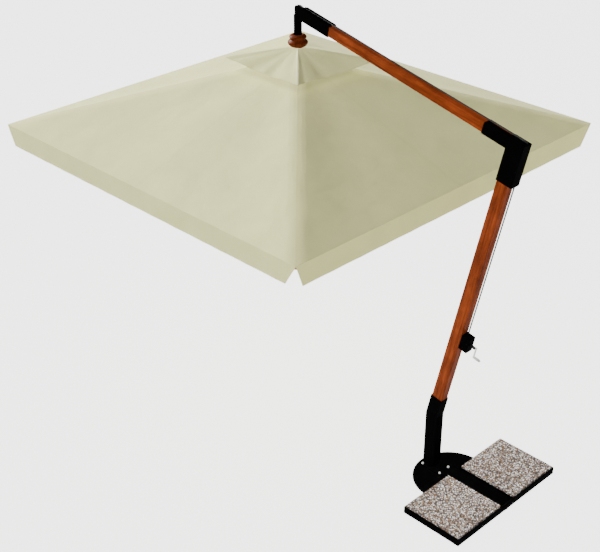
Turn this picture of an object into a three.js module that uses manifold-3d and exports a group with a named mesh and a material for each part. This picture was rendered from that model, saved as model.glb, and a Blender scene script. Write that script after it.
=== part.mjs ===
// Cantilever parasol: a square canopy hung from a wooden arm and a leaning mast, on a base that two slabs
// hold down.
// Millimetres, +Z up. The origin is on the floor under the mast's swivel axis, +X runs from the canopy
// towards the slabs, and the mast, arm and centre pole all lie in the plane y = 0.
import * as THREE from 'three';
import { mergeVertices } from 'three/addons/utils/BufferGeometryUtils.js';
import Module from 'manifold-3d';

const wasm = await Module();
wasm.setup();

// Clearances and sheet thicknesses
const gap = 0.3;
const fit = 0.4;
const wall = 4;
const fabricThickness = 1.6;

// Canopy and its frame
const canopyHalf = 1500;
const canopyAxisX = -1409.5;
const edgeHeight = 2344;
const apexHeight = 2862;
const ventOpeningHalf = 230;
const valanceDrop = 155;
const valanceSlit = 50;
const capHalf = 370;
const capTop = 2924;
const capHemHeight = 2842;

// Ribs, struts, crown hub and runner
const ribCount = 8;
const pivotRadius = 46;
const ribWidth = 18;
const ribDepth = 24;
const ribLift = 12;
const ribTipInset = 12;
const strutWidth = 16;
const strutDepth = 18;
const strutJointRadius = 715;
const closedAngle = THREE.MathUtils.degToRad(86);
const lugThickness = 8;
const pinRadius = 3;
const eyeRadius = 9;
const hubRadius = 62;
const runnerRadius = 58;

// Centre pole, head socket and finial
const poleRadius = 20;
const poleBore = 17;
const poleTop = 3095;
const poleBottom = 1320;
const socketRadius = 29;
const socketTop = 3158;
const socketBottom = 2995;
const finialBottom = 2929;
const finialTop = 3021;

// Mast and arm
const mastLean = THREE.MathUtils.degToRad(12.2);
const armRise = THREE.MathUtils.degToRad(12.73);
const bendHeight = 489;
const mastLength = 2323.5;
const mastDepth = 90;
const mastWidth = 70.4;
const armDepth = 70;
const armWidth = 62;
const timberRound = 5;

// Elbow and head brackets, pulleys and rope
const elbowMastSleeve = 270;
const elbowArmSleeve = 245;
const headSleeveStart = 1613;
const headSleeveEnd = 1893.5;
const ropeRadius = 4.5;
const ropeOffset = 58;
const elbowChannel = 73.5;
const ropeSide = 25;
const elbowPulleyRadius = 24;
const headPulleyRadius = 16;
const pulleyWidth = 12.4;

// Winch
const winchAlong = 751;
const winchDepth = 70;
const winchWidth = 67;
const winchHeight = 123;
const drumPitch = 25;
const crankStub = 45;
const crankThrow = 72;
const gripLength = 52;

// Base
const discRadius = 290;
const discCentreX = 198;
const discThickness = 12;
const footPlate = { x0: -62, x1: 142, half: 64, thickness: 10 };
const boltSpots = [[-42, 50], [121, 50], [121, -50], [-42, -50]];
const boltHoleRadius = 6.5;
const spigotRadius = 26;
const spigotFlange = 46;
const spigotTop = 330;
const footTubeBottom = 33;
const footSleeve = 170;
const slabSide = 471;
const slabGap = 152;
const slabStartX = 221.5;
const slabTop = 78.8;
const slabThickness = 54.5;
const trayMargin = 10;
const trayWall = 6;
const trayTop = 66;
const trayFloorTop = 24;

// Finishes: colour, roughness, metalness
const finishes = {
  blackMetal: ['#121214', 0.42, 0.55],
  zinc: ['#b9bbb8', 0.35, 0.9],
  timber: ['#9a4a24', 0.45, 0],
  canvas: ['#d0ceb2', 0.85, 0],
  stone: ['#b5aca3', 0.9, 0],
  blackPlastic: ['#1b1b1c', 0.5, 0],
  greyPlastic: ['#c9cac8', 0.45, 0],
  rope: ['#5d5c57', 0.8, 0],
};

const parasol = new THREE.Group();

function addPiece(name, geometry, finish, parent = parasol) {
  const [color, roughness, metalness] = finishes[finish];
  const piece = new THREE.Mesh(geometry, new THREE.MeshStandardMaterial({ color, roughness, metalness }));
  piece.name = name;
  parent.add(piece);
  return piece;
}

function toSolid(geometry) {
  let bare = geometry.clone();
  bare.deleteAttribute('normal');
  bare.deleteAttribute('uv');
  bare = mergeVertices(bare, 1e-3);
  return new wasm.Manifold(new wasm.Mesh({
    numProp: 3,
    vertProperties: new Float32Array(bare.attributes.position.array),
    triVerts: new Uint32Array(bare.index.array),
  }));
}

function fromSolid(solid) {
  const { numProp, vertProperties, triVerts } = solid.getMesh();
  const geometry = new THREE.BufferGeometry();
  const positions = new Float32Array((vertProperties.length / numProp) * 3);
  for (let i = 0; i < positions.length / 3; i += 1) {
    positions.set(vertProperties.subarray(i * numProp, i * numProp + 3), i * 3);
  }
  geometry.setAttribute('position', new THREE.BufferAttribute(positions, 3));
  geometry.setIndex(new THREE.BufferAttribute(new Uint32Array(triVerts), 1));
  geometry.computeVertexNormals();
  return geometry;
}

// Joins the first list of shapes and cuts the second list out of them.
function carve(joined, cut = []) {
  let solid = toSolid(joined[0]);
  for (const shape of joined.slice(1)) solid = solid.add(toSolid(shape));
  for (const shape of cut) solid = solid.subtract(toSolid(shape));
  return fromSolid(solid);
}

function box(x0, x1, y0, y1, z0, z1) {
  return new THREE.BoxGeometry(x1 - x0, y1 - y0, z1 - z0)
    .translate((x0 + x1) / 2, (y0 + y1) / 2, (z0 + z1) / 2);
}

// A cylinder between two values of one axis, centred on the other two.
function rod(axis, radius, from, to, centre = [0, 0], sides = 24) {
  const shape = new THREE.CylinderGeometry(radius, radius, to - from, sides);
  const middle = (from + to) / 2;
  if (axis === 'x') return shape.rotateZ(-Math.PI / 2).translate(middle, centre[0], centre[1]);
  if (axis === 'y') return shape.translate(centre[0], middle, centre[1]);
  return shape.rotateX(Math.PI / 2).translate(centre[0], centre[1], middle);
}

// A turned piece: radius and height pairs, closed on the axis or on itself, standing along +Z.
function turned(profile, sides = 48) {
  const points = profile.map(([radius, height]) => new THREE.Vector2(radius, height));
  return new THREE.LatheGeometry(points, sides).rotateX(Math.PI / 2);
}

// An outline in the XZ plane, given thickness from y0 to y1.
function plate(outline, y0, y1) {
  const shape = new THREE.Shape(outline.map((p) => new THREE.Vector2(p.x, p.y)));
  return new THREE.ExtrudeGeometry(shape, { depth: y1 - y0, bevelEnabled: false })
    .rotateX(Math.PI / 2).translate(0, y1, 0);
}

// A timber of rounded rectangular section along +Z.
function timber(depth, width, from, to) {
  const x = depth / 2;
  const y = width / 2;
  const r = timberRound;
  const section = new THREE.Shape();
  section.moveTo(x - r, -y);
  section.absarc(x - r, -y + r, r, -Math.PI / 2, 0, false);
  section.absarc(x - r, y - r, r, 0, Math.PI / 2, false);
  section.absarc(-x + r, y - r, r, Math.PI / 2, Math.PI, false);
  section.absarc(-x + r, -y + r, r, Math.PI, Math.PI * 1.5, false);
  return new THREE.ExtrudeGeometry(section, { depth: to - from, bevelEnabled: false, curveSegments: 3 })
    .translate(0, 0, from);
}

// A path through listed points, sampled at exactly those points.
class PointPath extends THREE.Curve {
  constructor(points) {
    super();
    this.points = points;
  }

  getPoint(t, target = new THREE.Vector3()) {
    const last = this.points.length - 1;
    const place = Math.min(Math.max(t, 0), 1) * last;
    const index = Math.min(Math.floor(place), last - 1);
    return target.lerpVectors(this.points[index], this.points[index + 1], place - index);
  }

  getUtoTmapping(u) {
    return u;
  }
}

function roundSection(radius, sides) {
  const section = new THREE.Shape();
  for (let i = 0; i < sides; i += 1) {
    const angle = (i / sides) * Math.PI * 2;
    if (i === 0) section.moveTo(radius, 0);
    else section.lineTo(radius * Math.cos(angle), radius * Math.sin(angle));
  }
  section.closePath();
  return section;
}

// A closed thin body from rows of surface points: the sheet hangs below them by its thickness.
function sheet(rows, thickness) {
  const across = rows[0].length;
  const count = rows.length * across;
  const positions = [];
  for (const drop of [0, thickness]) {
    for (const row of rows) for (const p of row) positions.push(p.x, p.y, p.z - drop);
  }
  const index = [];
  const quad = (a, b, c, d) => index.push(a, b, c, a, c, d);
  const columns = across - 1;
  const at = (i, j) => i * across + j;
  for (let i = 0; i < rows.length - 1; i += 1) {
    for (let j = 0; j < columns; j += 1) {
      quad(at(i, j), at(i + 1, j), at(i + 1, j + 1), at(i, j + 1));
      quad(at(i, j) + count, at(i, j + 1) + count, at(i + 1, j + 1) + count, at(i + 1, j) + count);
    }
  }
  const edge = (a, b) => quad(a, b, b + count, a + count);
  for (let j = 0; j < columns; j += 1) {
    edge(at(0, j), at(0, j + 1));
    edge(at(rows.length - 1, j + 1), at(rows.length - 1, j));
  }
  for (let i = 0; i < rows.length - 1; i += 1) {
    edge(at(i + 1, 0), at(i, 0));
    edge(at(i, columns), at(i + 1, columns));
  }
  const geometry = new THREE.BufferGeometry();
  geometry.setAttribute('position', new THREE.Float32BufferAttribute(positions, 3));
  geometry.setIndex(index);
  geometry.computeVertexNormals();
  return geometry;
}

// Directions in the plane of the mast and arm
const mastDirection = new THREE.Vector2(Math.sin(mastLean), Math.cos(mastLean));
const mastOutward = new THREE.Vector2(Math.cos(mastLean), -Math.sin(mastLean));
const armDirection = new THREE.Vector2(-Math.cos(armRise), Math.sin(armRise));
const armUpward = new THREE.Vector2(Math.sin(armRise), Math.cos(armRise));
const bend = new THREE.Vector2(0, bendHeight);
const elbow = bend.clone().addScaledVector(mastDirection, mastLength);
const ropeLift = armDepth / 2 + 0.5 + ropeRadius;

// Points (x, z) at a distance along the mast or arm, set off outward or upward.
function onMast(along, outward) {
  return bend.clone().addScaledVector(mastDirection, along).addScaledVector(mastOutward, outward);
}

function onArm(along, upward) {
  return elbow.clone().addScaledVector(armDirection, along).addScaledVector(armUpward, upward);
}

// Where a line parallel to the mast meets a line parallel to the arm.
function crossing(outward, upward) {
  const turn = mastOutward.cross(armUpward);
  const x = (outward * armUpward.y - upward * mastOutward.y) / turn;
  const z = (mastOutward.x * upward - armUpward.x * outward) / turn;
  return elbow.clone().add(new THREE.Vector2(x, z));
}

// Groups whose +Z runs along the mast and along the arm; their +X points outward and upward.
const mastFrame = new THREE.Group();
mastFrame.position.set(bend.x, 0, bend.y);
mastFrame.rotation.y = mastLean;
const armFrame = new THREE.Group();
armFrame.position.set(elbow.x, 0, elbow.y);
armFrame.rotation.y = armRise - Math.PI / 2;
const canopyFrame = new THREE.Group();
canopyFrame.position.x = canopyAxisX;
parasol.add(mastFrame, armFrame, canopyFrame);

// Moves a shape made in the mast's or arm's frame into the parasol's frame.
function fromFrame(frame, shape) {
  frame.updateMatrix();
  return shape.applyMatrix4(frame.matrix);
}

function buildDisc() {
  const top = discThickness;
  const disc = turned([[0, 0], [discRadius - 1.5, 0], [discRadius, 1.5], [discRadius, top - 2.5],
    [discRadius - 2.5, top], [0, top]], 72).translate(discCentreX, 0, 0);
  const holes = boltSpots.map((spot) => rod('z', boltHoleRadius, top - 8, top + 1, spot, 12));
  addPiece('ground_disc', carve([disc], holes), 'blackMetal');
}

function buildFootPlate() {
  const { x0, x1, half, thickness } = footPlate;
  const bottom = discThickness + gap;
  const top = bottom + thickness;
  const holes = boltSpots.map((spot) => rod('z', boltHoleRadius, bottom - 1, top + 1, spot, 12));
  addPiece('foot_plate', carve([box(x0, x1, -half, half, bottom, top)], holes), 'blackMetal');
}

function buildFootBolts() {
  const seat = discThickness + gap + footPlate.thickness + gap;
  const shank = rod('z', 6, seat - 17, seat + 1, [0, 0], 12);
  const washer = rod('z', 8.6, seat, seat + 2, [0, 0], 16);
  const head = rod('z', 8, seat + 1, seat + 9, [0, 0], 6);
  const bolt = carve([shank, washer, head]);
  boltSpots.forEach(([x, y], i) => {
    addPiece(`foot_bolt_${i + 1}`, bolt.clone(), 'zinc').position.set(x, y, 0);
  });
}

function buildSpigot() {
  const bottom = discThickness + footPlate.thickness + gap * 2;
  const flangeTop = footTubeBottom - fit;
  const r = spigotRadius;
  const profile = [[0, bottom], [spigotFlange, bottom], [spigotFlange, flangeTop], [r, flangeTop],
    [r, spigotTop - 4], [r - 4, spigotTop], [0, spigotTop]];
  addPiece('swivel_spigot', turned(profile), 'blackMetal');
}

function buildTray(name, side) {
  const inner = side * (slabGap / 2 - trayMargin);
  const outer = side * (slabGap / 2 + slabSide + trayMargin);
  const [y0, y1] = side > 0 ? [inner, outer] : [outer, inner];
  const x0 = slabStartX - trayMargin;
  const x1 = slabStartX + slabSide + trayMargin;
  const bottom = discThickness + gap;
  const floorBottom = trayFloorTop - wall;
  const w = trayWall;
  const pad = (x, y) => box(x - 20, x + 20, y - 20, y + 20, 0, floorBottom + 1);
  const pads = [[x0 + 30, outer - side * 30], [x1 - 30, outer - side * 30], [x1 - 30, inner + side * 30]];
  const tray = carve([box(x0, x1, y0, y1, bottom, trayTop)],
    [box(x0 + w, x1 - w, y0 + w, y1 - w, trayFloorTop, trayTop + 1),
      box(x0 + w, x1 - w, y0 + w, y1 - w, bottom - 1, floorBottom)]);
  addPiece(name, carve([tray, ...pads.map(([x, y]) => pad(x, y))]), 'blackMetal');
}

function buildSlab(name, side) {
  const half = slabSide / 2;
  const chamfer = 3;
  const slab = new THREE.CylinderGeometry((half - chamfer) * Math.SQRT2, half * Math.SQRT2, chamfer, 4, 1)
    .rotateY(Math.PI / 4).rotateX(Math.PI / 2).translate(0, 0, slabTop - chamfer / 2);
  const body = box(-half, half, -half, half, slabTop - slabThickness, slabTop - chamfer + 0.01);
  addPiece(name, carve([body, slab]), 'stone')
    .position.set(slabStartX + half, side * (slabGap / 2 + half), 0);
}

function buildSpine() {
  const half = slabGap / 2 - trayMargin - gap;
  const x0 = footPlate.x1 + 4;
  const x1 = slabStartX + slabSide + trayMargin;
  const bottom = discThickness + gap;
  const top = 46;
  const channel = carve([box(x0, x1, -half, half, bottom, top)],
    [box(x0 + wall, x1 - wall, -half + wall, half - wall, bottom - 1, top - wall)]);
  addPiece('base_spine', carve([channel, box(x1 - 9, x1 - 3, -half, half, top - 1, 74),
    box(x1 - 46, x1 - 6, -20, 20, 0, top - 1)]), 'blackMetal');
}

function buildBase() {
  buildDisc();
  buildFootPlate();
  buildFootBolts();
  buildSpigot();
  buildSpine();
  buildTray('tray_left', 1);
  buildTray('tray_right', -1);
  buildSlab('slab_left', 1);
  buildSlab('slab_right', -1);
}

// Outline of the foot tube: upright below the bend, then leaning with the mast.
function footOutline(half, bottom, reach) {
  const mitre = half * Math.tan(mastLean / 2);
  return [new THREE.Vector2(-half, bottom), new THREE.Vector2(half, bottom),
    new THREE.Vector2(half, bendHeight - mitre), onMast(reach, half), onMast(reach, -half),
    new THREE.Vector2(-half, bendHeight + mitre)];
}

function buildFoot() {
  const halfDepth = mastDepth / 2 + fit;
  const halfWidth = mastWidth / 2 + fit;
  addPiece('foot_bracket', carve(
    [plate(footOutline(halfDepth + wall, footTubeBottom, footSleeve), -halfWidth - wall, halfWidth + wall)],
    [plate(footOutline(halfDepth, footTubeBottom - 1, footSleeve + 1), -halfWidth, halfWidth)],
  ), 'blackMetal');
  const block = (z0, z1) => box(gap - halfDepth, halfDepth - gap, gap - halfWidth, halfWidth - gap, z0, z1);
  const bore = spigotRadius + gap;
  addPiece('swivel_bush', carve([block(36, 66), rod('z', bore + 4, 60, 300, [0, 0], 32), block(290, 320)],
    [rod('z', bore, 30, 325, [0, 0], 48)]), 'blackPlastic');
}

function buildElbow() {
  const mastIn = mastDepth / 2 + fit;
  const mastY = mastWidth / 2 + fit;
  const armIn = armDepth / 2 + fit;
  const armY = armWidth / 2 + fit;
  const channel = elbowChannel;
  const foot = mastLength - elbowMastSleeve;
  const mastPart = (inset, low) => [onMast(low, -mastIn - inset), onMast(low, channel + inset),
    crossing(channel + inset, armIn + inset), crossing(-mastIn - inset, armIn + inset)];
  const armPart = (inset, far) => [onArm(0, -armIn - inset), onArm(0, armIn + inset),
    onArm(far, armIn + inset), onArm(far, -armIn - inset)];
  const outer = [plate(mastPart(wall, foot), -mastY - wall, mastY + wall),
    plate(armPart(wall, elbowArmSleeve), -armY - wall, armY + wall)];
  const hollow = [plate(mastPart(0, foot - 1), -mastY, mastY),
    plate(armPart(0, elbowArmSleeve + 1), -armY, armY)];
  const slot = fromFrame(armFrame, box(armIn - 6, armIn + wall + 1, ropeSide - 12, ropeSide + 6.2,
    -channel + 1, elbowArmSleeve + 1));
  const centre = elbowPulleyCentre();
  const pinHole = rod('y', 5.3, -mastY - wall - 1, mastY + wall + 1, [centre.x, centre.y]);
  const shell = carve(outer, [...hollow, slot, pinHole]);
  const divider = fromFrame(mastFrame, box(mastIn, mastIn + wall, -mastY - 1, mastY + 1,
    foot, mastLength - 62));
  addPiece('elbow_bracket', carve([shell, divider]), 'blackMetal');
  addPiece('elbow_pin', carve([rod('y', 5, -mastY - wall - 4, mastY + wall + 4, [centre.x, centre.y]),
    rod('y', 9, -mastY - wall - 4, -mastY - wall - gap, [centre.x, centre.y]),
    rod('y', 9, mastY + wall + gap, mastY + wall + 4, [centre.x, centre.y])]), 'zinc');
}

function elbowPulleyCentre() {
  return crossing(ropeOffset - elbowPulleyRadius, ropeLift - elbowPulleyRadius);
}

function headPulleyCentre() {
  const x = canopyAxisX + headPulleyRadius;
  const along = (elbow.x - x) / Math.cos(armRise);
  const lift = ropeLift - headPulleyRadius;
  return new THREE.Vector2(x, elbow.y + along * Math.sin(armRise) + lift / Math.cos(armRise));
}

function pulley(radius, bore) {
  const rim = radius + ropeRadius - 0.5;
  const groove = radius - ropeRadius - gap;
  const half = pulleyWidth / 2;
  const flank = half - 1;
  const bed = half - 1.4;
  const profile = [[bore, -half], [rim, -half], [rim, -flank], [groove, -bed], [groove, bed], [rim, flank],
    [rim, half], [bore, half], [bore, -half]];
  return turned(profile, 36).rotateX(Math.PI / 2);
}

function buildPulleys() {
  const low = elbowPulleyCentre();
  const high = headPulleyCentre();
  const elbowPulley = addPiece('elbow_pulley', pulley(elbowPulleyRadius, 5.3), 'blackPlastic');
  elbowPulley.position.set(low.x, ropeSide, low.y);
  const headPulley = addPiece('head_pulley', pulley(headPulleyRadius, 4.3), 'blackPlastic');
  headPulley.position.set(high.x, 0, high.y);
}

function buildTimbers() {
  addPiece('mast', timber(mastDepth, mastWidth, 20, mastLength - 45), 'timber', mastFrame);
  addPiece('arm', timber(armDepth, armWidth, 62, headSleeveEnd - 8.5), 'timber', armFrame);
}

function buildHead() {
  const armIn = armDepth / 2 + fit;
  const armY = armWidth / 2 + fit;
  const axis = canopyAxisX;
  const centre = headPulleyCentre();
  const sleeve = fromFrame(armFrame, carve(
    [box(-armIn - wall, armIn + wall, -armY - wall, armY + wall, headSleeveStart, headSleeveEnd)],
    [box(-armIn, armIn, -armY, armY, headSleeveStart - 1, headSleeveEnd - wall),
      box(armIn - 1, armIn + wall + 1, -5.4, 9.3, headSleeveStart - 1, headSleeveEnd + 1)],
  ));
  const fins = [-10.4, 11.4].map((y) => fromFrame(armFrame,
    box(armIn + wall - 1, armIn + wall + 9, y - 2, y + 2, headSleeveStart + 4, headSleeveEnd)));
  const seat = headSleeveEnd - 2.5;
  const outline = [onArm(seat, -armIn - wall), onArm(seat, armIn + 11), onArm(seat + 16, armIn - 1),
    new THREE.Vector2(axis + 30, centre.y + 15), new THREE.Vector2(axis - 10, centre.y + 15),
    new THREE.Vector2(axis - 21, centre.y - 4), new THREE.Vector2(axis - 21, poleTop + 8),
    new THREE.Vector2(axis + 21, poleTop + 8)];
  const cheeks = [plate(outline, 8.4, 12.4), plate(outline, -12.4, -8.4)];
  const socket = rod('z', socketRadius, socketBottom, socketTop, [axis, 0], 36);
  addPiece('head_bracket', carve([sleeve, ...fins, ...cheeks, socket],
    [rod('z', poleRadius + 0.6, socketBottom - 1, poleTop + 3, [axis, 0], 36),
      rod('z', ropeRadius + 3, poleTop, socketTop + 1, [axis, 0], 24),
      rod('y', 4.3, -14, 14, [centre.x, centre.y])]), 'blackMetal');
  addPiece('head_pin', carve([rod('y', 4, -17, 17, [centre.x, centre.y]),
    rod('y', 7, -17, -12.7, [centre.x, centre.y]), rod('y', 7, 12.7, 17, [centre.x, centre.y])]), 'zinc');
}

// Points on a pulley's pitch circle from one outward normal to another, in degrees from +X.
function wrap(centre, radius, from, to, y, steps = 8) {
  const points = [];
  for (let i = 0; i <= steps; i += 1) {
    const angle = THREE.MathUtils.degToRad(from + ((to - from) * i) / steps);
    const x = centre.x + radius * Math.cos(angle);
    const z = centre.y + radius * Math.sin(angle);
    points.push(new THREE.Vector3(x, y, z));
  }
  return points;
}

function buildRope() {
  const start = onMast(winchAlong, ropeOffset);
  const outward = THREE.MathUtils.radToDeg(Math.atan2(mastOutward.y, mastOutward.x));
  const upward = THREE.MathUtils.radToDeg(Math.atan2(armUpward.y, armUpward.x));
  const route = [new THREE.Vector3(start.x, ropeSide, start.y),
    ...wrap(elbowPulleyCentre(), elbowPulleyRadius, outward, upward, ropeSide),
    ...wrap(headPulleyCentre(), headPulleyRadius, upward, 180, 0),
    new THREE.Vector3(canopyAxisX, 0, runnerHeight() + 4.5)];
  addPiece('rope', new THREE.ExtrudeGeometry(roundSection(ropeRadius, 8),
    { extrudePath: new PointPath(route), steps: route.length - 1, bevelEnabled: false }), 'rope');
}

function buildWinch() {
  const x0 = mastDepth / 2 + gap;
  const x1 = x0 + winchDepth;
  const y = winchWidth / 2;
  const z0 = winchAlong - winchHeight / 2;
  const z1 = winchAlong + winchHeight / 2;
  const thin = 2.7;
  const body = new THREE.ExtrudeGeometry(winchSection(winchHeight / 2, y, 6), {
    depth: winchDepth - 4, bevelEnabled: true, bevelThickness: 2, bevelSize: 2, bevelOffset: -2,
    bevelSegments: 1, curveSegments: 3,
  }).rotateY(Math.PI / 2).translate(x0 + 2, 0, winchAlong);
  const inside = box(x0 - 3, x1 - thin, -y + thin, y - thin, z0 + thin, z1 - thin);
  const shaftHole = rod('x', 6.5, x1 - 6, x1 + 2, [0, winchAlong]);
  const ropeSlot = box(ropeOffset - 5.5, ropeOffset + 7, ropeSide - 7, y - thin, z1 - 6, z1 + 2);
  addPiece('winch_housing', carve([body], [inside, shaftHole, ropeSlot]), 'blackMetal', mastFrame);
  buildDrum(x0 + 4, x1 - 10);
  buildCrank(x0 + 14, x1 + crankStub);
}

function winchSection(halfZ, halfY, r) {
  const section = new THREE.Shape();
  section.moveTo(halfZ - r, -halfY);
  section.absarc(halfZ - r, -halfY + r, r, -Math.PI / 2, 0, false);
  section.absarc(halfZ - r, halfY - r, r, 0, Math.PI / 2, false);
  section.absarc(-halfZ + r, halfY - r, r, Math.PI / 2, Math.PI, false);
  section.absarc(-halfZ + r, -halfY + r, r, Math.PI, Math.PI * 1.5, false);
  return section;
}

function buildDrum(x0, x1) {
  const core = drumPitch - ropeRadius - gap;
  const drum = turned([[6.4, x0], [27, x0], [27, x0 + 3], [core, x0 + 3], [core, x1 - 3], [27, x1 - 3],
    [27, x1], [6.4, x1], [6.4, x0]], 36).rotateY(Math.PI / 2);
  addPiece('winch_drum', drum, 'blackPlastic', mastFrame).position.z = winchAlong;
}

function buildCrank(shaftFrom, armX) {
  const faceX = mastDepth / 2 + gap + winchDepth;
  const gripAxis = [0, -crankThrow];
  const pinEnd = armX + 9 + gripLength;
  const shaft = rod('x', 6, shaftFrom, armX + 2);
  const collar = rod('x', 10, faceX + 1, armX + 6);
  const armBar = box(armX, armX + 6, -7, 7, -crankThrow, 0);
  const armEnd = rod('x', 8, armX, armX + 6, gripAxis);
  const gripPin = rod('x', 4, armX + 1, pinEnd, gripAxis);
  const pinHead = rod('x', 6, pinEnd - 2, pinEnd, gripAxis);
  addPiece('crank', carve([shaft, collar, armBar, armEnd, gripPin, pinHead]), 'zinc', mastFrame)
    .position.z = winchAlong;
  const g = armX + 6 + gap;
  const end = g + gripLength;
  const profile = [[4.4, g], [7.5, g], [9, g + 6], [10, g + gripLength * 0.55], [8.5, end - 6],
    [6.5, end], [4.4, end], [4.4, g]];
  addPiece('crank_grip', turned(profile, 28).rotateY(Math.PI / 2), 'greyPlastic', mastFrame)
    .position.z = winchAlong - crankThrow;
}

const slopeOfSides = (apexHeight - edgeHeight) / canopyHalf;
const sideRibAngle = Math.atan(slopeOfSides);
const cornerRibAngle = Math.atan(slopeOfSides / Math.SQRT2);

// The crown's pivots sit so that the side ribs' upper faces lie just under the cloth.
function hubHeight() {
  const under = fabricThickness + 1.5;
  return apexHeight - under - (ribLift + ribDepth) / Math.cos(sideRibAngle) - pivotRadius * slopeOfSides;
}

const sideStrutReach = (strutJointRadius - pivotRadius) / Math.cos(sideRibAngle);

// Side ribs and struts are equal legs, so the runner hangs twice the joint's drop below the hub.
function runnerHeight(angle = sideRibAngle) {
  return hubHeight() - 2 * sideStrutReach * Math.sin(angle);
}

// A corner rib's joint and strut length suit the runner both open and closed.
function cornerLinkage() {
  const open = hubHeight() - runnerHeight();
  const shut = hubHeight() - runnerHeight(closedAngle);
  const reach = (shut ** 2 - open ** 2)
    / (2 * (shut * Math.sin(closedAngle) - open * Math.sin(cornerRibAngle)));
  const length = Math.sqrt(reach ** 2 + open ** 2 - 2 * reach * open * Math.sin(cornerRibAngle));
  return { reach, length };
}

// A slotted ring on the pole: eight radial slots take the ends of the ribs or struts.
function slottedRing(radius, z0, z1, slotWidth, extra = []) {
  const bore = poleRadius + fit;
  const ring = turned([[bore, z0], [radius - 2, z0], [radius, z0 + 2], [radius, z1 - 2], [radius - 2, z1],
    [bore, z1], [bore, z0]], 48);
  const slots = [];
  for (let k = 0; k < ribCount; k += 1) {
    slots.push(box(pivotRadius - 12, radius + 5, -slotWidth / 2, slotWidth / 2, z0 - 1, z1 + 1)
      .rotateZ((k * Math.PI * 2) / ribCount));
  }
  return carve([carve([ring], slots), ...extra]);
}

function buildHub() {
  const z = hubHeight();
  const pins = [];
  const half = ribWidth / 2 + 3;
  for (let k = 0; k < ribCount; k += 1) {
    const pin = rod('y', pinRadius, -half, half, [pivotRadius, z], 12);
    pins.push(pin.rotateZ((k * Math.PI * 2) / ribCount));
  }
  const bore = poleRadius + fit;
  const top = capTop - 6;
  const collar = turned([[bore, z + 8], [30, z + 8], [30, top], [bore, top], [bore, z + 8]], 36);
  addPiece('crown_hub', slottedRing(hubRadius, z - 14, z + 14, ribWidth + 0.8, [collar, ...pins]),
    'blackPlastic', canopyFrame);
}

function buildRunner() {
  const z = runnerHeight();
  const bore = poleRadius + fit;
  const sleeve = turned([[bore, z - 40], [28, z - 40], [33, z - 30], [33, z + 24], [bore, z + 24],
    [bore, z - 40]], 36);
  const key = box(-3, 3, -4, poleRadius + 6, z - 4, z + 4);
  addPiece('runner', slottedRing(runnerRadius, z - 12, z + 12, strutWidth + 1.2, [sleeve, key]),
    'blackPlastic', canopyFrame);
}

function buildPole() {
  const pole = turned([[poleBore, poleBottom], [poleRadius, poleBottom], [poleRadius, poleTop],
    [poleBore, poleTop], [poleBore, poleBottom]], 36);
  const slot = box(-4, 4, 0, poleRadius + 5, poleBottom + 30, runnerHeight() + 40);
  addPiece('centre_pole', carve([pole], [slot]), 'blackMetal', canopyFrame);
  const b = poleBottom - gap;
  const profile = [[0, b - 56], [10, b - 55], [21, b - 46], [24, b - 36], [19, b - 26], [20, b - 20],
    [27, b - 14], [27, b - 2], [25, b], [16.4, b], [16.4, b + 25], [0, b + 25]];
  addPiece('pole_cap', turned(profile, 36), 'timber', canopyFrame);
}

function buildFinial() {
  const b = finialBottom;
  const bore = socketRadius + 0.5;
  const profile = [[bore, b], [46, b], [57, b + 8], [69, b + 20], [73, b + 28], [73, b + 36], [68, b + 44],
    [59, b + 51], [54, b + 56], [57, b + 62], [62, b + 67], [63.5, b + 72], [61, b + 79], [51, b + 87],
    [38, finialTop], [bore, finialTop], [bore, b]];
  addPiece('finial', turned(profile, 48), 'timber', canopyFrame);
}

function buildRibAndStrut(k) {
  const corner = k % 2 === 1;
  const angle = corner ? cornerRibAngle : sideRibAngle;
  const link = corner ? cornerLinkage() : { reach: sideStrutReach, length: sideStrutReach };
  const tipRadius = (corner ? canopyHalf * Math.SQRT2 : canopyHalf) - ribTipInset;
  const top = ribLift + ribDepth;
  const length = (tipRadius - pivotRadius - top * Math.sin(angle)) / Math.cos(angle);
  const plane = new THREE.Group();
  plane.rotation.z = (k * Math.PI * 2) / ribCount;
  canopyFrame.add(plane);

  const w = ribWidth / 2;
  const lug = lugThickness / 2;
  const joint = [link.reach, 0];
  const batten = box(4, length, -w, w, ribLift, top);
  const rootEye = rod('y', eyeRadius, -w, w);
  const root = box(-eyeRadius, 24, -w, w, 0, ribLift + 4);
  const lugWeb = box(link.reach - eyeRadius, link.reach + eyeRadius, -lug, lug, 0, ribLift + 1);
  const lugEye = rod('y', eyeRadius, -lug, lug, joint);
  const pinHoles = [[0, 0], joint].map((spot) => rod('y', pinRadius + fit, -w - 1, w + 1, spot, 12));
  const rib = carve([batten, rootEye, root, lugWeb, lugEye], pinHoles);
  const ribPiece = addPiece(`rib_${k + 1}`, rib, 'timber', plane);
  ribPiece.position.set(pivotRadius, 0, hubHeight());
  ribPiece.rotation.y = angle;

  const jointX = pivotRadius + link.reach * Math.cos(angle);
  const jointZ = hubHeight() - link.reach * Math.sin(angle);
  const s = strutWidth / 2;
  const d = strutDepth / 2;
  const fork = lugThickness / 2 + fit;
  const lower = [link.length, 0];
  const stick = [box(0, link.length, -s, s, -d, d), rod('y', d, -s, s), rod('y', d, -s, s, lower)];
  const forkSlot = box(-d - 1, eyeRadius + 8, -fork, fork, -d - 1, d + 1);
  const bar = carve(stick, [forkSlot, rod('y', pinRadius + fit, -s - 1, s + 1, lower, 12)]);
  const strut = carve([bar, rod('y', pinRadius, -s, s, [0, 0], 12)]);
  const strutPiece = addPiece(`strut_${k + 1}`, strut, 'timber', plane);
  strutPiece.position.set(jointX, 0, jointZ);
  strutPiece.rotation.y = Math.atan2(jointZ - runnerHeight(), pivotRadius - jointX);
}

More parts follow.
